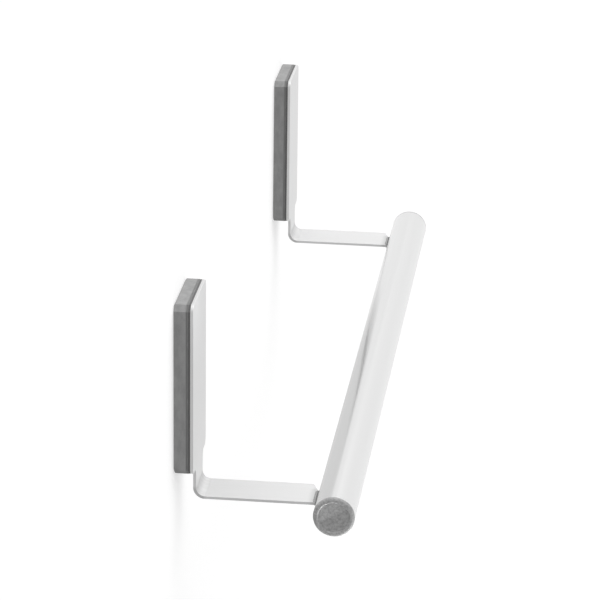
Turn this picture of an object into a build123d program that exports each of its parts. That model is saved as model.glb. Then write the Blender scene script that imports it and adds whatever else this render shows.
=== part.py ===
from build123d import *
from math import sqrt
import os

# Magnetic towel holder, in millimetres. X runs along the bar, +Y points into the wall
# and Z is up. The origin lies on the wall plane, midway between the two brackets and
# level with the bar's axis. Left is the -X end, as seen from the room.

# Bar: a thin drawn tube, sawn square, with its outer rim broken. Its reach is from the
# wall to its axis, and its overhang from each bracket's centre to the tube's end
BAR_DIAMETER = 16.0
BAR_WALL = 1.0
BAR_LENGTH = 350.0
BAR_REACH = 62.0
BAR_OVERHANG = 20.0
RIM_BREAK = 0.1

# End cap: a thin moulded head, flush with the tube, with a shallow dish in it, and a
# ribbed stem inside the tube
CAP_HEAD = 1.5
CAP_ROUND = 1.2
DISH_DIAMETER = 12.8
DISH_STEP = 0.45
DISH_DEPTH = 0.75
STEM_LENGTH = 12.0
STEM_WALL = 1.6
STEM_FLOOR = 1.5
RIB_COUNT = 3
RIB_HEIGHT = 0.5
RIB_WIDTH = 1.0
STEM_CLEARANCE = 0.05

# Bracket: one flat strip blanked with a wide plate and a narrower arm, then bent square.
# The arm's end is cut back at its right-hand corner, further along the end than the side
STRIP = 1.2
PLATE_WIDTH = 34.0
PLATE_HEIGHT = 68.5
PLATE_DROP = 12.0
PLATE_CORNER = 3.0
ARM_WIDTH = 18.0
TIP_CUT_ALONG = 6.5
TIP_CUT_BACK = 2.3
NECK_ROUND = 2.4
BEND_INSIDE = 3.3
STRIP_EDGE = 0.2

# Weld: a small bead that fills the gap between the arm's end and the tube
WELD_GAP = 0.4
WELD_RADIUS = 1.1
WELD_END = 0.3

# Magnet pack, from the wall outwards: rubber cover, magnet inside it, keeper, tape pad.
# Its layers are cut off at 45 degrees at each corner
PACK_CORNER = 2.2
COVER_DEPTH = 5.0
COVER_FACE = 0.8
COVER_WALL = 1.2
COVER_EDGE = 0.7
MAGNET_CLEARANCE = 0.1
MAGNET_BREAK = 0.3
KEEPER = 0.7
KEEPER_BREAK = 0.12
PAD = 0.7
PAD_INSET = 0.1

bar_radius = BAR_DIAMETER / 2
bore_radius = bar_radius - BAR_WALL
stem_radius = bore_radius - STEM_CLEARANCE - RIB_HEIGHT
pack_depth = COVER_DEPTH + KEEPER + PAD
plate_centre = PLATE_DROP + PLATE_HEIGHT / 2
plate_top = PLATE_DROP + PLATE_HEIGHT
arm_end = BAR_REACH - bar_radius - WELD_GAP
shoulder = (PLATE_WIDTH - ARM_WIDTH) / 2
plate_corner = min(PLATE_CORNER, 0.5 * shoulder)
neck_round = min(NECK_ROUND, 0.4 * shoulder)
magnet_inset = COVER_WALL + MAGNET_CLEARANCE
brackets = {"left": BAR_OVERHANG - BAR_LENGTH / 2, "right": BAR_LENGTH / 2 - BAR_OVERHANG}
ends = {"left": -1, "right": 1}

os.makedirs("parts", exist_ok=True)


def pack_outline(centre, inset=0):
    """Draws a layer of the magnet pack in the open sketch, set in all round by inset."""
    with BuildSketch(mode=Mode.PRIVATE) as outline:
        Rectangle(PLATE_WIDTH - 2 * inset, PLATE_HEIGHT - 2 * inset)
        chamfer(outline.vertices(), PACK_CORNER - inset * (2 - sqrt(2)))
    with Locations((centre, plate_centre)):
        add(outline.sketch)


# The bar tube lies along X, BAR_REACH in front of the wall
with BuildPart() as bar_tube:
    with BuildSketch(Plane.YZ):
        with Locations((-BAR_REACH, 0)):
            Circle(bar_radius)
            Circle(bore_radius, mode=Mode.SUBTRACT)
    extrude(amount=BAR_LENGTH / 2, both=True)
    rims = bar_tube.faces().filter_by(Axis.X).edges().group_by(SortBy.RADIUS)[-1]
    chamfer(rims, RIM_BREAK)
bar_tube.part.label = "bar_tube"
export_step(bar_tube.part, "parts/bar_tube.step")


# Each end cap is turned about the bar's axis: its stem slides into the bore and its
# head seats on the tube's end
for side, outward in ends.items():
    head_plane = Plane(
        origin=(outward * BAR_LENGTH / 2, -BAR_REACH, 0),
        x_dir=(outward, 0, 0),
        z_dir=(0, 0, 1),
    )
    with BuildPart() as end_cap:
        with BuildSketch(head_plane):
            with BuildLine():
                stem = Polyline(
                    (-STEM_FLOOR, 0),
                    (-STEM_FLOOR, stem_radius - STEM_WALL),
                    (-STEM_LENGTH, stem_radius - STEM_WALL),
                    (-STEM_LENGTH, stem_radius),
                    (0, stem_radius),
                    (0, bar_radius),
                    (CAP_HEAD - CAP_ROUND, bar_radius),
                )
                rim = RadiusArc(stem @ 1, (CAP_HEAD, bar_radius - CAP_ROUND), CAP_ROUND)
                step = Polyline(
                    rim @ 1,
                    (CAP_HEAD, DISH_DIAMETER / 2),
                    (CAP_HEAD - DISH_STEP, DISH_DIAMETER / 2 - DISH_STEP),
                )
                dish = TangentArc(
                    (CAP_HEAD - DISH_DEPTH, 0), step @ 1, tangent=(0, 1)
                )
                Line(dish @ 0, stem @ 0)
            make_face()
            rib_step = STEM_LENGTH / (RIB_COUNT + 1)
            for rib in range(1, RIB_COUNT + 1):
                with Locations((-rib * rib_step, stem_radius)):
                    Rectangle(RIB_WIDTH, 2 * RIB_HEIGHT)
        revolve(axis=Axis(head_plane.origin, head_plane.x_dir))
    end_cap.part.label = f"{side}_end_cap"
    export_step(end_cap.part, f"parts/{side}_end_cap.step")


# Each bracket is the strip's side view pulled across, then cut to the blank's front view
for side, centre in brackets.items():
    with BuildPart() as bracket:
        with BuildSketch(Plane.YZ.offset(centre)):
            with BuildLine():
                FilletPolyline(
                    (-pack_depth, plate_top),
                    (-pack_depth, -STRIP / 2),
                    (-arm_end, -STRIP / 2),
                    radius=BEND_INSIDE + STRIP,
                )
                offset(amount=STRIP, side=Side.RIGHT)
            make_face()
        extrude(amount=PLATE_WIDTH / 2, both=True)
        with BuildSketch(Plane.XZ) as blank:
            with Locations((centre, plate_centre)):
                Rectangle(PLATE_WIDTH, PLATE_HEIGHT)
            with Locations((centre, PLATE_DROP)):
                Rectangle(ARM_WIDTH, 2 * (PLATE_DROP + STRIP))
            neck = blank.vertices().group_by(Axis.Y)[1].sort_by(Axis.X)[1:3]
            fillet(neck, neck_round)
            flanks = blank.vertices().group_by(Axis.X)
            fillet(flanks[0] + flanks[-1], plate_corner)
        extrude(amount=BAR_REACH, both=True, mode=Mode.INTERSECT)
        end_face = bracket.faces().filter_by(Axis.Y).sort_by(Axis.Y)[0]
        corner = end_face.edges().filter_by(Axis.Z).sort_by(Axis.X)[-1]
        chamfer(corner, TIP_CUT_ALONG, TIP_CUT_BACK, reference=end_face)
        # The blank's outline, front and back, is every edge but the corners through
        # the thickness and the four lines where the bend begins and ends
        outline = bracket.edges().filter_by(
            lambda edge: abs(edge.length - STRIP) > 0.01 and abs(edge.length - ARM_WIDTH) > 0.01
        )
        fillet(outline, STRIP_EDGE)
    bracket.part.label = f"{side}_bracket"
    export_step(bracket.part, f"parts/{side}_bracket.step")


# Each weld bead fills the gap at the arm's end, from its left-hand side to the cut
# corner, and laps onto the arm, above and below
for side, centre in brackets.items():
    with BuildPart() as weld:
        with BuildSketch(Plane.YZ.offset(centre - ARM_WIDTH / 2)):
            with Locations((-arm_end - WELD_GAP / 2, 0)):
                Circle(WELD_RADIUS)
        extrude(amount=ARM_WIDTH - TIP_CUT_ALONG)
        fillet(weld.edges().filter_by(GeomType.CIRCLE), WELD_END)
        with BuildSketch(Plane.YZ.offset(centre)):
            with Locations((-BAR_REACH, 0)):
                Circle(bar_radius)
            with Locations((-arm_end, 0)):
                Rectangle(BAR_REACH, STRIP, align=(Align.MIN, Align.CENTER))
        extrude(amount=ARM_WIDTH / 2, both=True, mode=Mode.SUBTRACT)
    weld.part.label = f"{side}_weld"
    export_step(weld.part, f"parts/{side}_weld.step")


# Each magnet pack is as wide and tall as the plate and lies flat between it and the wall
for side, centre in brackets.items():
    with BuildPart() as magnet_cover:
        with BuildSketch(Plane.XZ):
            pack_outline(centre)
        extrude(amount=COVER_DEPTH)
        fillet(magnet_cover.faces().sort_by(Axis.Y)[-1].edges(), COVER_EDGE)
        with BuildSketch(Plane.XZ.offset(COVER_FACE)):
            pack_outline(centre, COVER_WALL)
        extrude(amount=COVER_DEPTH, mode=Mode.SUBTRACT)
    magnet_cover.part.label = f"{side}_magnet_cover"
    export_step(magnet_cover.part, f"parts/{side}_magnet_cover.step")

    with BuildPart() as magnet:
        with BuildSketch(Plane.XZ.offset(COVER_FACE + MAGNET_CLEARANCE)):
            pack_outline(centre, magnet_inset)
        extrude(amount=COVER_DEPTH - COVER_FACE - MAGNET_CLEARANCE)
        chamfer(magnet.edges(), MAGNET_BREAK)
    magnet.part.label = f"{side}_magnet"
    export_step(magnet.part, f"parts/{side}_magnet.step")

    with BuildPart() as keeper_plate:
        with BuildSketch(Plane.XZ.offset(COVER_DEPTH)):
            pack_outline(centre)
        extrude(amount=KEEPER)
        broad = keeper_plate.faces().filter_by(Axis.Y)
        chamfer(broad.edges(), KEEPER_BREAK)
    keeper_plate.part.label = f"{side}_keeper_plate"
    export_step(keeper_plate.part, f"parts/{side}_keeper_plate.step")

    with BuildPart() as adhesive_pad:
        with BuildSketch(Plane.XZ.offset(COVER_DEPTH + KEEPER)):
            pack_outline(centre, PAD_INSET)
        extrude(amount=PAD)
    adhesive_pad.part.label = f"{side}_adhesive_pad"
    export_step(adhesive_pad.part, f"parts/{side}_adhesive_pad.step")
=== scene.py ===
import math

import bpy
from mathutils import Matrix, Vector


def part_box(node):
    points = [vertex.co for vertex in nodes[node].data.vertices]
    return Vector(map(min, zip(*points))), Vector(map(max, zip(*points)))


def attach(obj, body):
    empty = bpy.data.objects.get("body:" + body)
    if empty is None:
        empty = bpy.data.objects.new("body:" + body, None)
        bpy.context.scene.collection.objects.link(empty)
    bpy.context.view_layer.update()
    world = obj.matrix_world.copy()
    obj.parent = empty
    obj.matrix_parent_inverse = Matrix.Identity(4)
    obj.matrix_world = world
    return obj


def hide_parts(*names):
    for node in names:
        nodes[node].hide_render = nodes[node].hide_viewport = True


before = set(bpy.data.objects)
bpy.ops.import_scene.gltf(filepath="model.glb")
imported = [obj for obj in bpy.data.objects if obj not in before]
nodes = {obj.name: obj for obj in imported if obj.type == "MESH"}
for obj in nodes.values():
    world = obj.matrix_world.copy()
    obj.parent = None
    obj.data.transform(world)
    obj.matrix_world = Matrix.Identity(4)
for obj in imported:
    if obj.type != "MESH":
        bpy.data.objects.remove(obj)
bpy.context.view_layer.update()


# Bar: a thin-walled stainless tube, drawn, then brushed along its length to a satin.
# The torch has left the steel a little darker around each weld.


def grey(level):
    """A grey level as a colour."""
    return (level, level, level, 1.0)


class Value:
    """A number that varies over a surface; sums with it add Math nodes."""

    def __init__(self, finish, socket):
        self.finish = finish
        self.socket = socket

    def __add__(self, other):
        return self.finish.math("ADD", self, other)

    def __sub__(self, other):
        return self.finish.math("SUBTRACT", self, other)

    def __rsub__(self, other):
        return self.finish.math("SUBTRACT", other, self)

    def __mul__(self, other):
        return self.finish.math("MULTIPLY", self, other)

    def __truediv__(self, other):
        return self.finish.math("DIVIDE", self, other)

    def __abs__(self):
        return self.finish.math("ABSOLUTE", self)

    def power(self, exponent):
        return self.finish.math("POWER", self, exponent)

    def above(self, limit):
        return self.finish.math("MAXIMUM", self, limit)

    __radd__ = __add__
    __rmul__ = __mul__


class Nodes:
    """A node tree being written. Every node but a group's input is added by node()."""

    def __init__(self, tree):
        self.tree = tree
        tree.nodes.clear()

    def node(self, kind, settings=None, sockets=None, output=0):
        made = self.tree.nodes.new(kind)
        for name, setting in (settings or {}).items():
            setattr(made, name, setting)
        for name, source in (sockets or {}).items():
            if isinstance(source, Value):
                self.tree.links.new(source.socket, made.inputs[name])
            else:
                made.inputs[name].default_value = source
        return Value(self, made.outputs[output] if made.outputs else None)

    def math(self, operation, first, second=0.0):
        return self.node("ShaderNodeMath", {"operation": operation}, {0: first, 1: second})


class Finish(Nodes):
    """The shader tree of one finish."""

    def place(self, axis):
        """One coordinate of the point, in metres, in the frame of the whole object."""
        point = self.node("ShaderNodeTexCoord", output=3)
        return self.node("ShaderNodeSeparateXYZ", sockets={0: point}, output="XYZ".index(axis))

    def facing(self, axis):
        """How squarely the surface faces along an axis, from 0 to 1."""
        normal = self.node("ShaderNodeTexCoord", output=1)
        along = self.node("ShaderNodeSeparateXYZ", sockets={0: normal}, output="XYZ".index(axis))
        return abs(along)

    def grain(self, lengths, detail=3.0, roughness=0.6):
        """Noise from 0 to 1 about 0.5, whose marks are lengths metres long along X, Y, Z."""
        point = self.node("ShaderNodeTexCoord", output=3)
        scaled = self.node(
            "ShaderNodeMapping",
            sockets={"Vector": point, "Scale": [1 / length for length in lengths]},
        )
        return self.node(
            "ShaderNodeTexNoise",
            sockets={
                "Vector": scaled,
                "Scale": 1.0,
                "Detail": detail,
                "Roughness": roughness,
            },
        )

    def step(self, value, low, high):
        """0 below low and 1 above high, smooth between; low may be the larger."""
        return self.node(
            "ShaderNodeMapRange",
            {"interpolation_type": "SMOOTHSTEP"},
            {"Value": value, "From Min": low, "From Max": high},
        )

    def blend(self, share, first, second):
        """A grey between two grey levels, the first at share 0."""
        return self.node(
            "ShaderNodeMix",
            {"data_type": "RGBA"},
            {0: share, 6: grey(first), 7: grey(second)},
            output=2,
        )

    def bump(self, height, distance, strength=1.0):
        """Surface relief of a height from 0 to 1, distance metres deep."""
        return self.node(
            "ShaderNodeBump",
            sockets={"Height": height, "Distance": distance, "Strength": strength},
        )

    def surface(self, **sockets):
        """The shader itself; a socket's name is given in lower case, with underscores."""
        named = {name.replace("_", " ").title(): value for name, value in sockets.items()}
        shader = self.node("ShaderNodeBsdfPrincipled", sockets=named)
        self.node("ShaderNodeOutputMaterial", sockets={"Surface": shader})


def new_finish(name):
    material = bpy.data.materials.new(name)
    material.use_nodes = True
    return material, Finish(material.node_tree)


def dress(node, material):
    """Gives a CAD piece its finish."""
    mesh = nodes[node].data
    for index in range(max(1, len(mesh.materials))):
        if index < len(mesh.materials):
            mesh.materials[index] = material
        else:
            mesh.materials.append(material)


BAR_STEEL = 0.80
BURNT_AND_SHADED_STEEL = 0.55
LINE_SHARE = 0.12
WAVE_SHARE = 0.08
WORN_SHARE = 0.05
BAR_BRUSH_LENGTH = 0.030
BAR_BRUSH_WIDTH = 0.00025
BAR_BRUSH_DEPTH = 0.000004
BAR_WAVE_LENGTH = 0.080
BAR_WAVE_WIDTH = 0.0015
BAR_ROUGHNESS = 0.20
BAR_HEAT_REACH = 0.005

SIDES = ("left", "right")
bar_low, bar_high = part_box("bar_tube")
bar_axis = (bar_low + bar_high) / 2
weld_boxes = {side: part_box(f"{side}_weld") for side in SIDES}
seams = {side: (low + high) / 2 for side, (low, high) in weld_boxes.items()}
seam_half = (weld_boxes["left"][1].x - weld_boxes["left"][0].x) / 2


def heat_mark(finish, reach):
    """1 at the weld seams, falling to 0 at reach metres from them."""
    shift = (seams["left"].x + seams["right"].x) / 2
    apart = (seams["right"].x - seams["left"].x) / 2
    past_end = (abs(abs(finish.place("X") - shift) - apart) - seam_half).above(0.0)
    forward = finish.place("Y") - seams["left"].y
    up = finish.place("Z")
    distance = (past_end * past_end + forward * forward + up * up).power(0.5)
    return finish.step(distance, reach, 0.3 * reach)


def brushed(lines, waves):
    """How far brushed steel leans from its own tone towards the burnt one."""
    return (lines - 0.5) * LINE_SHARE + (waves - 0.5) * WAVE_SHARE + WORN_SHARE


satin_tube, finish = new_finish("satin_tube")
lines = finish.grain((BAR_BRUSH_LENGTH, BAR_BRUSH_WIDTH, BAR_BRUSH_WIDTH))
waves = finish.grain((BAR_WAVE_LENGTH, BAR_WAVE_WIDTH, BAR_WAVE_WIDTH), detail=2.0)
heat = heat_mark(finish, BAR_HEAT_REACH)
finish.surface(
    base_color=finish.blend(heat * 0.5 + brushed(lines, waves), BAR_STEEL, BURNT_AND_SHADED_STEEL),
    metallic=1.0,
    roughness=BAR_ROUGHNESS + (lines - 0.5) * 0.12 + (waves - 0.5) * 0.06 + heat * 0.1,
    normal=finish.bump(lines, BAR_BRUSH_DEPTH),
)
dress("bar_tube", satin_tube)


# End caps: grey polypropylene plugs, injection moulded, with a spark-eroded texture on
# the head and a shallow dish in it. The ribs on the stem hold them in the tube.

CAP_GREY = 0.41
CAP_DARK = 0.20
CAP_TEXTURE = 0.00022
CAP_MOTTLE = 0.0009
CAP_RELIEF = 0.00006
CAP_ROUGHNESS = 0.58

cap_plastic, finish = new_finish("cap_plastic")
texture = finish.grain([CAP_TEXTURE] * 3, detail=2.0)
mottle = finish.grain([CAP_MOTTLE] * 3, detail=3.0, roughness=0.7)
finish.surface(
    base_color=finish.blend(
        finish.step(mottle, 0.3, 0.7) * 0.7 + texture * 0.3, CAP_GREY, CAP_DARK
    ),
    roughness=CAP_ROUGHNESS + (mottle - 0.5) * 0.2,
    normal=finish.bump(texture * 0.6 + mottle * 0.4, CAP_RELIEF, 0.5),
)
for side in SIDES:
    dress(f"{side}_end_cap", cap_plastic)


# Brackets: one blank of 1.2 mm stainless strip each, brushed along its length before it
# was bent, so the lines turn the corner with it. The bend is duller, where the steel has
# stretched, and painted shade darkens its colour there; the blanked edges are lined.

STRIP_STEEL = 0.79
STRIP_BRUSH_LENGTH = 0.030
STRIP_BRUSH_WIDTH = 0.00022
STRIP_BRUSH_DEPTH = 0.000004
STRIP_WAVE_LENGTH = 0.060
STRIP_WAVE_WIDTH = 0.0012
STRIP_ROUGHNESS = 0.45
STRIP_HEAT_REACH = 0.0035
CUT_MARK_LENGTH = 0.0012
CUT_MARK_WIDTH = 0.00018
BEND_OUTSIDE = 0.0045
BEND_FADE = 0.001

strip_low, strip_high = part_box("left_bracket")
bend_front = strip_high.y - BEND_OUTSIDE
bend_top = strip_low.z + BEND_OUTSIDE
satin_strip, finish = new_finish("satin_strip")
lines = finish.grain((STRIP_BRUSH_WIDTH, STRIP_BRUSH_LENGTH, STRIP_BRUSH_LENGTH))
waves = finish.grain((STRIP_WAVE_WIDTH, STRIP_WAVE_LENGTH, STRIP_WAVE_LENGTH), detail=2.0)
cut_marks = finish.grain((CUT_MARK_LENGTH, CUT_MARK_WIDTH, CUT_MARK_WIDTH), detail=2.0)
cut_edge = finish.step(finish.facing("X"), 0.55, 0.85)
heat = heat_mark(finish, STRIP_HEAT_REACH)
# Painted shade: the colour is darkened over the bend, which is also made rougher.
bend_shade_and_dulling = finish.step(finish.place("Y"), bend_front - BEND_FADE, bend_front + BEND_FADE)
bend_shade_and_dulling = bend_shade_and_dulling * finish.step(finish.place("Z"), bend_top + BEND_FADE, bend_top - BEND_FADE)
finish.surface(
    base_color=finish.blend(
        heat * 0.55
        + brushed(lines, waves)
        + cut_edge * (0.15 + (cut_marks - 0.5) * 0.4)
        + bend_shade_and_dulling * (0.45 + (waves - 0.5) * 0.8),
        STRIP_STEEL,
        BURNT_AND_SHADED_STEEL,
    ),
    metallic=1.0,
    roughness=STRIP_ROUGHNESS + (lines - 0.5) * 0.14 + cut_edge * 0.08 + bend_shade_and_dulling * 0.14 + heat * 0.1,
    normal=finish.bump(lines * (1 - cut_edge) + cut_marks * cut_edge, STRIP_BRUSH_DEPTH),
)
for side in SIDES:
    dress(f"{side}_bracket", satin_strip)


# Welds: a small bead of filler run along each arm's end, with the overlapping ripples
# that the torch leaves. The steel there is burnt to a dull dark grey, and painted shade
# darkens the bead further on its side against the tube.

WELD_GREY = 0.55
WELD_DARK_AND_SHADE = 0.10
WELD_ROUGHNESS = 0.38
SCALE_MARK = 0.0005
SCALE_RELIEF = 0.00004
TUBE_SHADE_FADE = 0.0003
RIPPLE_PITCH = 0.00075
RIPPLE_HEIGHT = 0.00012
RIPPLE_LAG = 0.7
BEAD_TAPER = 14.0
BEAD_WOBBLE = 1 / 900
BEAD_RINGS = 112
BEAD_SIDES = 28


class Bead(Nodes):
    """The Geometry Nodes tree of a rippled weld bead along a straight seam."""

    def __init__(self, material):
        super().__init__(bpy.data.node_groups.new("weld_bead", "GeometryNodeTree"))
        self.sockets = {}
        for name, kind in (
            ("Seam start", "NodeSocketVector"),
            ("Seam end", "NodeSocketVector"),
            ("Bead radius", "NodeSocketFloat"),
            ("Ripple pitch", "NodeSocketFloat"),
            ("Ripple height", "NodeSocketFloat"),
            ("Ripple lag", "NodeSocketFloat"),
        ):
            made = self.tree.interface.new_socket(name, in_out="INPUT", socket_type=kind)
            self.sockets[name] = made.identifier
        self.tree.interface.new_socket(
            "Geometry", in_out="OUTPUT", socket_type="NodeSocketGeometry"
        )
        self.build(material)

    def build(self, material):
        given = self.tree.nodes.new("NodeGroupInput")
        start, end, radius, pitch, height, lag = (
            Value(self, given.outputs[name]) for name in self.sockets
        )
        seam = self.node("GeometryNodeCurvePrimitiveLine", sockets={"Start": start, "End": end})
        seam = self.node(
            "GeometryNodeResampleCurve", sockets={"Curve": seam, "Count": BEAD_RINGS}
        )
        along = self.node("GeometryNodeSplineParameter", output=0)
        from_middle = abs(along * 2.0 - 1.0)
        taper = (1.0 - from_middle.power(BEAD_TAPER)).power(0.5)
        ring = self.node(
            "GeometryNodeCurvePrimitiveCircle",
            {"mode": "RADIUS"},
            {"Resolution": BEAD_SIDES, "Radius": 1.0},
        )
        bead = self.node(
            "GeometryNodeCurveToMesh",
            sockets={
                "Curve": seam,
                "Profile Curve": ring,
                "Scale": radius * taper,
                "Fill Caps": True,
            },
        )
        position = self.node("GeometryNodeInputPosition")
        x = self.node("ShaderNodeSeparateXYZ", sockets={0: position}, output=0)
        y = self.node("ShaderNodeSeparateXYZ", sockets={0: position}, output=1)
        seam_y = self.node("ShaderNodeSeparateXYZ", sockets={0: start}, output=1)
        bow = abs(y - seam_y) / radius
        wobble = self.node(
            "ShaderNodeTexNoise",
            sockets={"Vector": position, "Scale": 1 / BEAD_WOBBLE, "Detail": 1.0},
        )
        phase = self.math("FRACT", x / pitch + bow * bow * lag + wobble * 0.5)
        scallop = 1.0 - (phase * 2.0 - 1.0).power(2.0)
        normal = self.node("GeometryNodeInputNormal")
        lift = height * (scallop - 1.0) + (wobble - 0.5) * height
        offset = self.node(
            "ShaderNodeVectorMath", {"operation": "SCALE"}, {0: normal, "Scale": lift}
        )
        bead = self.node(
            "GeometryNodeSetPosition", sockets={"Geometry": bead, "Offset": offset}
        )
        bead = self.node("GeometryNodeSetShadeSmooth", sockets={0: bead})
        bead = self.node("GeometryNodeRealizeInstances", sockets={0: bead})
        bead = self.node(
            "GeometryNodeSetMaterial", sockets={"Geometry": bead, "Material": material}
        )
        self.node("NodeGroupOutput", sockets={0: bead})


burnt_weld, finish = new_finish("burnt_weld")
scale_marks = finish.grain([SCALE_MARK] * 3, detail=4.0)
seam_y = seams["left"].y
# Painted shade: the bead is darkened on its side against the tube, where the tube overhangs it.
tube_side_shade = finish.step(finish.place("Y"), seam_y + TUBE_SHADE_FADE, seam_y - TUBE_SHADE_FADE)
finish.surface(
    base_color=finish.blend(
        finish.step(scale_marks, 0.3, 0.7) * 0.4 + tube_side_shade * 0.6, WELD_GREY, WELD_DARK_AND_SHADE
    ),
    metallic=1.0,
    roughness=WELD_ROUGHNESS + scale_marks * 0.3,
    normal=finish.bump(scale_marks, SCALE_RELIEF, 0.6),
)

bead_tree = Bead(burnt_weld)
for side, (low, high) in weld_boxes.items():
    blank = bpy.data.objects.new(f"{side}_seam", bpy.data.meshes.new(f"{side}_seam"))
    bpy.context.scene.collection.objects.link(blank)
    modifier = blank.modifiers.new("weld_bead", "NODES")
    modifier.node_group = bead_tree.tree
    middle = (low + high) / 2
    for name, size in {
        "Seam start": (low.x, middle.y, middle.z),
        "Seam end": (high.x, middle.y, middle.z),
        "Bead radius": (high.z - low.z) / 2,
        "Ripple pitch": RIPPLE_PITCH,
        "Ripple height": RIPPLE_HEIGHT,
        "Ripple lag": RIPPLE_LAG,
    }.items():
        modifier[bead_tree.sockets[name]] = size
    depsgraph = bpy.context.evaluated_depsgraph_get()
    mesh = bpy.data.meshes.new_from_object(blank.evaluated_get(depsgraph))
    bpy.data.objects.remove(blank)
    bead = bpy.data.objects.new(f"{side}_weld_bead", mesh)
    bpy.context.scene.collection.objects.link(bead)
    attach(bead, "root")
    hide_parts(f"{side}_weld")


# Adhesive pads: thin dark closed-cell foam with glue on both faces, die cut to the
# plate's outline, between the plate and the keeper.

FOAM_DARK = 0.095
FOAM_PALE = 0.13
FOAM_CELL = 1 / 4200
FOAM_RELIEF = 0.00005

pad_foam, finish = new_finish("pad_foam")
point = finish.node("ShaderNodeTexCoord", output=3)
cells = finish.node("ShaderNodeTexVoronoi", sockets={"Vector": point, "Scale": 1 / FOAM_CELL})
finish.surface(
    base_color=finish.blend(cells, FOAM_DARK, FOAM_PALE),
    roughness=0.85,
    normal=finish.bump(cells, FOAM_RELIEF, 0.7),
)
for side in SIDES:
    dress(f"{side}_adhesive_pad", pad_foam)


# Keeper plates: 0.7 mm mild steel behind each magnet, painted matt dark grey, rubbed
# paler along its thin edge where it is handled.

PAINT_DARK = 0.15
PAINT_RUBBED = 0.20
PAINT_PEEL = 0.0006
PAINT_RELIEF = 0.00004
RUB_LENGTH = 0.004
RUB_WIDTH = 0.0006

keeper_paint, finish = new_finish("keeper_paint")
peel = finish.grain([PAINT_PEEL] * 3, detail=2.0)
rub = finish.grain((RUB_LENGTH, RUB_WIDTH, RUB_LENGTH), detail=4.0)
finish.surface(
    base_color=finish.blend(finish.step(rub, 0.45, 0.75), PAINT_DARK, PAINT_RUBBED),
    roughness=0.5 + (peel - 0.5) * 0.2,
    normal=finish.bump(peel, PAINT_RELIEF, 0.4),
)
for side in SIDES:
    dress(f"{side}_keeper_plate", keeper_paint)


# Magnets: flat blocks of sintered ferrite, ground on their broad faces, one sealed
# inside each cover.

FERRITE_DARK = 0.05
FERRITE_PALE = 0.09
PORE_SIZE = 0.0005
PORE_RELIEF = 0.00008

ferrite, finish = new_finish("ferrite")
pores = finish.grain([PORE_SIZE] * 3, detail=5.0, roughness=0.7)
finish.surface(
    base_color=finish.blend(pores, FERRITE_DARK, FERRITE_PALE),
    metallic=0.3,
    roughness=0.5 + pores * 0.2,
    normal=finish.bump(pores, PORE_RELIEF, 0.6),
)
for side in SIDES:
    dress(f"{side}_magnet", ferrite)


# Magnet covers: soft grey rubber caps moulded over the magnets, so that they grip the
# metal surface that they are put on and don't scratch it. Painted shade darkens the edge
# that meets the keeper.

RUBBER_GREY = 0.30
RUBBER_DARK_AND_SHADE = 0.21
RUBBER_GRAIN = 0.00035
RUBBER_RELIEF = 0.00006
RUBBER_ROUGHNESS = 0.62
BLOOM_WIDTH = 0.003
BLOOM_HEIGHT = 0.006
EDGE_SHADE_ENDS = 0.00045
EDGE_SHADE_FULL = 0.00025
EDGE_SHADE_SHARE = 1.1

cover_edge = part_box("left_magnet_cover")[0].y
cover_rubber, finish = new_finish("cover_rubber")
grain = finish.grain([RUBBER_GRAIN] * 3, detail=3.0)
bloom = finish.grain((BLOOM_WIDTH, BLOOM_WIDTH, BLOOM_HEIGHT), detail=4.0, roughness=0.65)
# Painted shade: a dark band along the edge of the cover that meets the keeper.
keeper_edge_shade = finish.step(finish.place("Y"), cover_edge + EDGE_SHADE_ENDS, cover_edge + EDGE_SHADE_FULL)
finish.surface(
    base_color=finish.blend(
        finish.step(bloom, 0.3, 0.7) * 0.6 + grain * 0.4 + keeper_edge_shade * EDGE_SHADE_SHARE,
        RUBBER_GREY,
        RUBBER_DARK_AND_SHADE,
    ),
    roughness=RUBBER_ROUGHNESS + (bloom - 0.5) * 0.2,
    normal=finish.bump(grain, RUBBER_RELIEF, 0.6),
)
for side in SIDES:
    dress(f"{side}_magnet_cover", cover_rubber)


# Stage: a white wall behind the object and a pale floor well below it. Each shows only
# its front, so the object can be seen from behind. In the steel they show a painted
# reflection instead: painted shade as a pale grey board around the object, white past
# the bar's right end, and a dim room past its left end.

WALL_GAP = 0.0002
WALL_HALF = 9.0
FLOOR_DROP = 0.55
FLOOR_HALF = 3.0
STAGE_PALE = 0.8
STAGE_SHADE = 0.62
STAGE_WHITE = 0.482
ROOM_TONE = 0.97
PAINTED_BOARD_SHADE = 0.75
PAINTED_BOARD_RIGHT = 0.215
PAINTED_BOARD_TOP = 0.12
PAINTED_ROOM_SHADE = 0.54
PAINTED_ROOM_RIGHT = -0.20
EDGE_BLUR = 0.02

stage_white = bpy.data.materials.new("stage_white")
stage_white.use_nodes = True
finish = Finish(stage_white.node_tree)
seen = finish.node("ShaderNodeLightPath", output=0)
behind = finish.node("ShaderNodeNewGeometry", output=6)
mirrored = finish.node("ShaderNodeLightPath", output=3)
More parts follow.
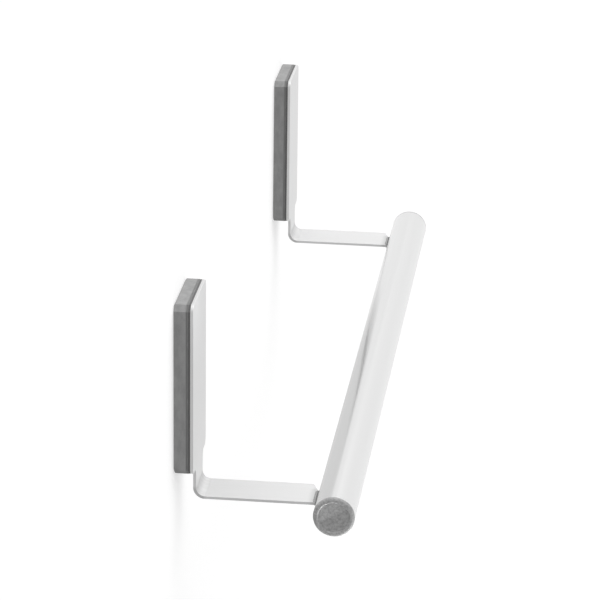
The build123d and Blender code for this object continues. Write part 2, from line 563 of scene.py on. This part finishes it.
# Painted reflection: to glossy rays the sheets glow with this tone, with a darker board and a dim
# left end as painted shade.
painted_board_shade = finish.step(finish.place("X"), PAINTED_BOARD_RIGHT + EDGE_BLUR, PAINTED_BOARD_RIGHT - EDGE_BLUR)
painted_board_shade = painted_board_shade * finish.step(finish.place("Z"), PAINTED_BOARD_TOP + EDGE_BLUR, PAINTED_BOARD_TOP - EDGE_BLUR)
painted_room_shade = finish.step(finish.place("X"), PAINTED_ROOM_RIGHT + EDGE_BLUR, PAINTED_ROOM_RIGHT - EDGE_BLUR)
tone = (ROOM_TONE - painted_board_shade * (ROOM_TONE - PAINTED_BOARD_SHADE)) * (1.0 - painted_room_shade) + painted_room_shade * PAINTED_ROOM_SHADE
pale = finish.node("ShaderNodeBsdfDiffuse", sockets={"Color": grey(STAGE_PALE)})
shade = finish.node("ShaderNodeBsdfDiffuse", sockets={"Color": grey(STAGE_SHADE)})
glow = finish.node("ShaderNodeEmission", sockets={"Strength": STAGE_WHITE})
white = finish.node("ShaderNodeAddShader", sockets={0: shade, 1: glow})
painted_reflection = finish.node("ShaderNodeEmission", sockets={"Strength": tone})
front = finish.node("ShaderNodeMixShader", sockets={0: seen, 1: pale, 2: white})
front = finish.node("ShaderNodeMixShader", sockets={0: mirrored, 1: front, 2: painted_reflection})
clear = finish.node("ShaderNodeBsdfTransparent")
both = finish.node("ShaderNodeMixShader", sockets={0: behind, 1: front, 2: clear})
finish.node("ShaderNodeOutputMaterial", sockets={"Surface": both})


def stage_sheet(name, corners):
    mesh = bpy.data.meshes.new(name)
    mesh.from_pydata(corners, [], [(0, 1, 2, 3)])
    mesh.materials.append(stage_white)
    sheet = bpy.data.objects.new(name, mesh)
    bpy.context.scene.collection.objects.link(sheet)
    sheet.visible_diffuse = False
    sheet.visible_shadow = False
    sheet.visible_transmission = False


stage_sheet(
    "wall",
    [
        (-WALL_HALF, WALL_GAP, -WALL_HALF),
        (WALL_HALF, WALL_GAP, -WALL_HALF),
        (WALL_HALF, WALL_GAP, WALL_HALF),
        (-WALL_HALF, WALL_GAP, WALL_HALF),
    ],
)
stage_sheet(
    "floor",
    [
        (-FLOOR_HALF, -FLOOR_HALF, -FLOOR_DROP),
        (FLOOR_HALF, -FLOOR_HALF, -FLOOR_DROP),
        (FLOOR_HALF, FLOOR_HALF, -FLOOR_DROP),
        (-FLOOR_HALF, FLOOR_HALF, -FLOOR_DROP),
    ],
)


# Light: a pale studio all round, with a broad soft box overhead and a dimmer left side.
# A small lamp below, with a narrow cone, picks out the edges of the left end cap. The
# camera sees plain white behind everything.

ROOM_DIM = 0.52
ROOM_BRIGHT = 0.97
DIM_ENDS = -0.5
BRIGHT_STARTS = 0.7
OVERHEAD = 1.3
OVERHEAD_STARTS = 0.35
OVERHEAD_FULL = 0.9

world = bpy.data.worlds.new("studio")
world.use_nodes = True
bpy.context.scene.world = world
finish = Finish(world.node_tree)
towards = finish.node("ShaderNodeTexCoord", output=0)
along = finish.node("ShaderNodeSeparateXYZ", sockets={0: towards}, output=0)
up = finish.node("ShaderNodeSeparateXYZ", sockets={0: towards}, output=2)
room = ROOM_DIM + finish.step(along, DIM_ENDS, BRIGHT_STARTS) * (ROOM_BRIGHT - ROOM_DIM)
level = room + finish.step(up, OVERHEAD_STARTS, OVERHEAD_FULL) * OVERHEAD
seen = finish.node("ShaderNodeLightPath", output=0)
light = finish.node("ShaderNodeBackground", sockets={"Color": grey(1.0), "Strength": level})
plain = finish.node("ShaderNodeBackground", sockets={"Color": grey(1.0)})
both = finish.node("ShaderNodeMixShader", sockets={0: seen, 1: light, 2: plain})
finish.node("ShaderNodeOutputWorld", sockets={"Surface": both})

CAP_LIGHT_TOWARDS = Vector((-0.107, -0.446, -0.887))
CAP_LIGHT_FAR = 1.2
CAP_LIGHT_SIZE = 0.008
CAP_LIGHT_POWER = 70.0
CAP_LIGHT_CONE = math.radians(1.6)
CAP_LIGHT_BLEND = 0.3

snoot = bpy.data.lights.new("cap_light", "SPOT")
snoot.shadow_soft_size = CAP_LIGHT_SIZE
snoot.energy = CAP_LIGHT_POWER
snoot.spot_size = CAP_LIGHT_CONE
snoot.spot_blend = CAP_LIGHT_BLEND
cap_light = bpy.data.objects.new("cap_light", snoot)
bar_end = Vector((bar_low.x, bar_axis.y, bar_axis.z))
cap_light.location = bar_end + CAP_LIGHT_FAR * CAP_LIGHT_TOWARDS
cap_light.rotation_euler = (-CAP_LIGHT_TOWARDS).to_track_quat("-Z", "Y").to_euler()
bpy.context.scene.collection.objects.link(cap_light)


# Camera: a long lens past the left end of the bar, in front of it and above, looking
# along it and slightly down.

IMAGE_SIZE = 600
FOCAL_PIXELS = 3165.6
SENSOR_WIDTH = 36.0
CAMERA_PLACE = Vector((-1.27225, -0.16905, 0.48272))
CAMERA_AZIMUTH = math.radians(-83.704)
CAMERA_ELEVATION = math.radians(19.743)
CAMERA_ROLL = math.radians(0.747)

back = Vector(
    (
        math.sin(CAMERA_AZIMUTH) * math.cos(CAMERA_ELEVATION),
        -math.cos(CAMERA_AZIMUTH) * math.cos(CAMERA_ELEVATION),
        math.sin(CAMERA_ELEVATION),
    )
)
level_right = Vector((math.cos(CAMERA_AZIMUTH), math.sin(CAMERA_AZIMUTH), 0.0))
level_up = back.cross(level_right)
camera_right = level_right * math.cos(CAMERA_ROLL) + level_up * math.sin(CAMERA_ROLL)
camera_up = back.cross(camera_right)
camera_turn = Matrix((camera_right, camera_up, back)).transposed().to_4x4()

camera_data = bpy.data.cameras.new("camera")
camera_data.sensor_width = SENSOR_WIDTH
camera_data.lens = FOCAL_PIXELS * SENSOR_WIDTH / IMAGE_SIZE
camera_data.clip_start = 0.01
camera_data.clip_end = 100.0
camera = bpy.data.objects.new("camera", camera_data)
camera.matrix_world = Matrix.Translation(CAMERA_PLACE) @ camera_turn
bpy.context.scene.collection.objects.link(camera)
bpy.context.scene.camera = camera
bpy.context.scene.view_settings.view_transform = "Standard"
